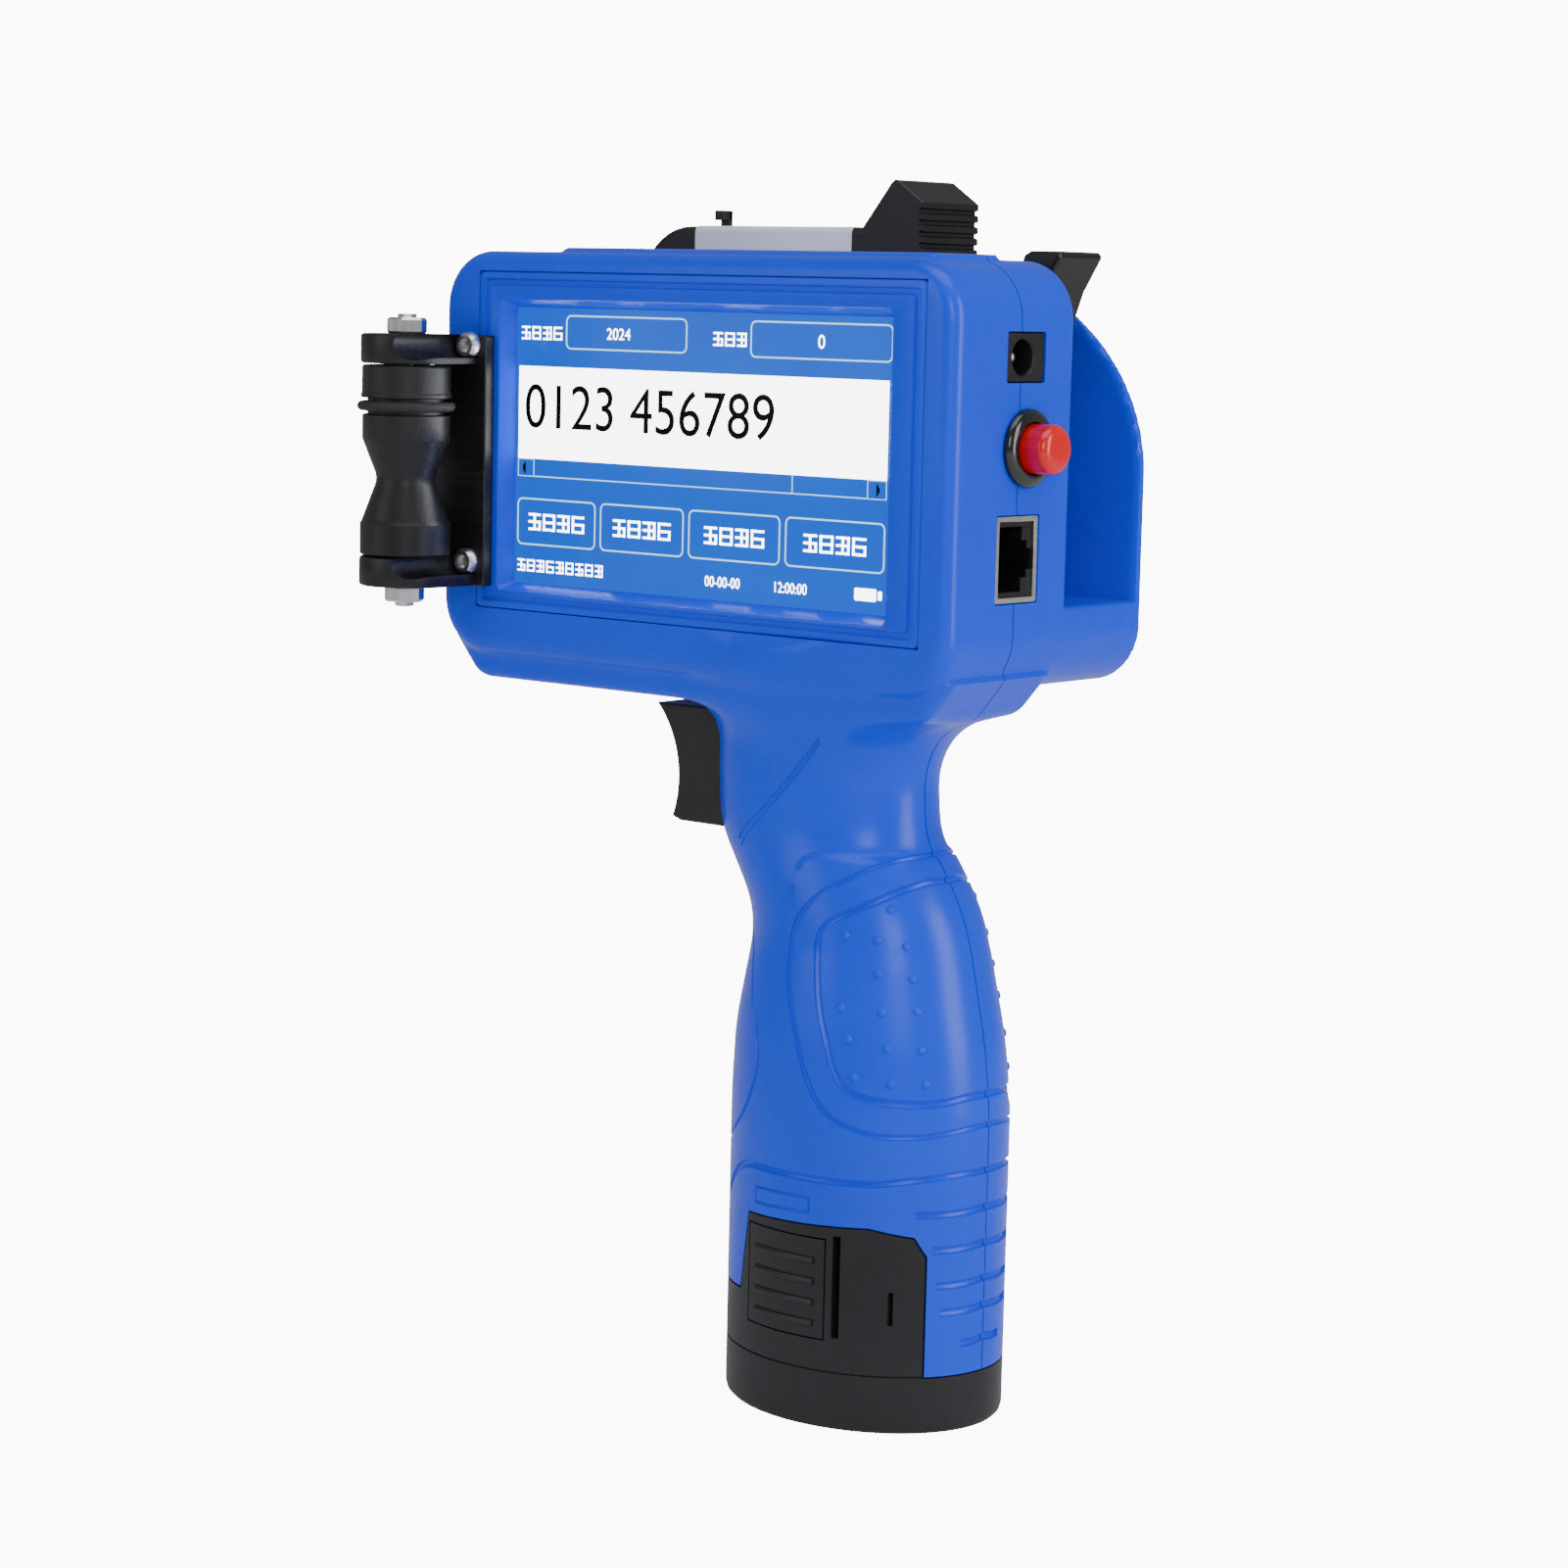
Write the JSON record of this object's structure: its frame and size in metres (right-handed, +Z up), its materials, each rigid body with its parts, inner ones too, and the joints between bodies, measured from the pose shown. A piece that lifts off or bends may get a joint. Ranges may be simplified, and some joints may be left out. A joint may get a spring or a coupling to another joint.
{
  "type": "date code inkjet printer",
  "caption": "Hand-held inkjet coder: screen box on a pistol grip with trigger, lift-out ink cartridge, guide roller and slide-in battery foot.",
  "frame": {"origin": "centre of the flat foot under the battery pack", "axes": "+Z up along the grip, -Y the side with the screen, -X the print end with the roller and nozzle, +Y the cartridge side"},
  "size_m": [0.1422, 0.0856, 0.2333],
  "materials": {
    "blue_shell": "satin moulded ABS with a fine grain",
    "black_plastic": "black moulded plastic",
    "gloss_black": "polished black plastic",
    "red_plastic": "glossy red plastic",
    "screen_glass": "glass over the lit screen",
    "steel": "bare steel",
    "spring_steel": "spring wire",
    "black_aluminium": "black anodised",
    "tin_plate": "tin plated sheet",
    "screen_module": "backlight tray in a thin metal frame",
    "plate_metal": "fine brushed sheet",
    "circuit_board": "green solder mask",
    "gold_contact": "gold plated",
    "flex_film": "amber film",
    "rubber_black": "black rubber",
    "white_label": "white printed film",
    "cell_sleeve": "sleeved steel can",
    "magnet": "sintered magnet"
  },
  "bodies": {
    "housing": {"front_shell": "blue_shell", "rear_shell": "blue_shell", "shell_screws": "steel", "screen_bezel": "blue_shell", "touch_glass": "screen_glass", "lcd_module": "screen_module", "lcd_ribbon": "flex_film", "main_board": "circuit_board", "board_chips": "black_plastic", "board_screws": "steel", "dc_jack": "black_plastic", "dc_jack_pin": "steel", "power_bushing": "gloss_black", "power_nut": "steel", "power_switch_body": "black_plastic", "power_spring": "spring_steel", "data_port_shell": "tin_plate", "data_port_insert": "black_plastic", "data_port_contacts": "gold_contact", "print_plate": "plate_metal", "print_plate_screws": "steel", "contact_board": "circuit_board", "contact_pins": "gold_contact", "locating_clip": "black_plastic", "latch_pin": "steel", "latch_spring": "spring_steel", "roller_bracket": "black_aluminium", "bracket_screws": "steel", "roller_axle": "steel", "axle_nuts": "steel", "encoder_sensor": "circuit_board", "trigger_spring": "spring_steel", "trigger_switch": "black_plastic", "terminal_block": "black_plastic"},
    "power_button": {"power_cap": "red_plastic"},
    "cartridge": {"cartridge_body": "black_plastic", "cartridge_grip": "black_plastic", "cartridge_label": "white_label", "nozzle_plate": "gold_contact"},
    "latch": {"latch_lever": "black_plastic"},
    "roller": {"guide_roller": "black_plastic", "roller_bearings": "steel", "roller_o_ring": "rubber_black", "encoder_magnet": "magnet"},
    "trigger_body": {"trigger": "black_plastic"},
    "battery": {"battery_foot": "black_plastic", "battery_tube": "black_plastic", "battery_cells": "cell_sleeve", "battery_contacts": "gold_contact", "foot_screws": "steel", "release_springs": "spring_steel"},
    "release_left": {"release_button_left": "black_plastic"},
    "release_right": {"release_button_right": "black_plastic"}
  },
  "joints": [
    {"name": "power_press", "type": "slide", "parent": "housing", "child": "power_button", "axis": [-1, 0, 0], "range_m": [0, 0.0025], "stiffness_N_per_m": 900, "springref_m": -0.001, "deforming": ["power_spring"]},
    {"name": "cartridge_lift", "type": "slide", "parent": "housing", "child": "cartridge", "axis": [0, 0, 1], "range_m": [0, 0.084]},
    {"name": "latch_open", "type": "hinge", "parent": "housing", "child": "latch", "pos_m": [-0.003, 0.0294, 0.162], "axis": [0, 1, 0], "range_deg": [0, 22], "stiffness_Nm_per_rad": 0.05, "springref_deg": -8.59, "deforming": ["latch_spring"]},
    {"name": "roller_spin", "type": "hinge", "parent": "housing", "child": "roller", "pos_m": [-0.0945, -0.033, 0.1769], "axis": [0, 0, 1], "continuous": true},
    {"name": "trigger_pull", "type": "slide", "parent": "housing", "child": "trigger_body", "axis": [1, 0, 0], "range_m": [0, 0.0045], "stiffness_N_per_m": 600, "springref_m": -0.003, "deforming": ["trigger_spring"]},
    {"name": "battery_slide", "type": "slide", "parent": "housing", "child": "battery", "axis": [0, 0, -1], "range_m": [0, 0.095]},
    {"name": "release_left_press", "type": "slide", "parent": "battery", "child": "release_left", "axis": [0, 1, 0], "range_m": [0, 0.0015], "stiffness_N_per_m": 1500, "springref_m": -0.001, "deforming": ["release_springs"]},
    {"name": "release_right_press", "type": "slide", "parent": "battery", "child": "release_right", "axis": [0, -1, 0], "range_m": [0, 0.0015], "stiffness_N_per_m": 1500, "springref_m": -0.001, "deforming": ["release_springs"]}
  ]
}
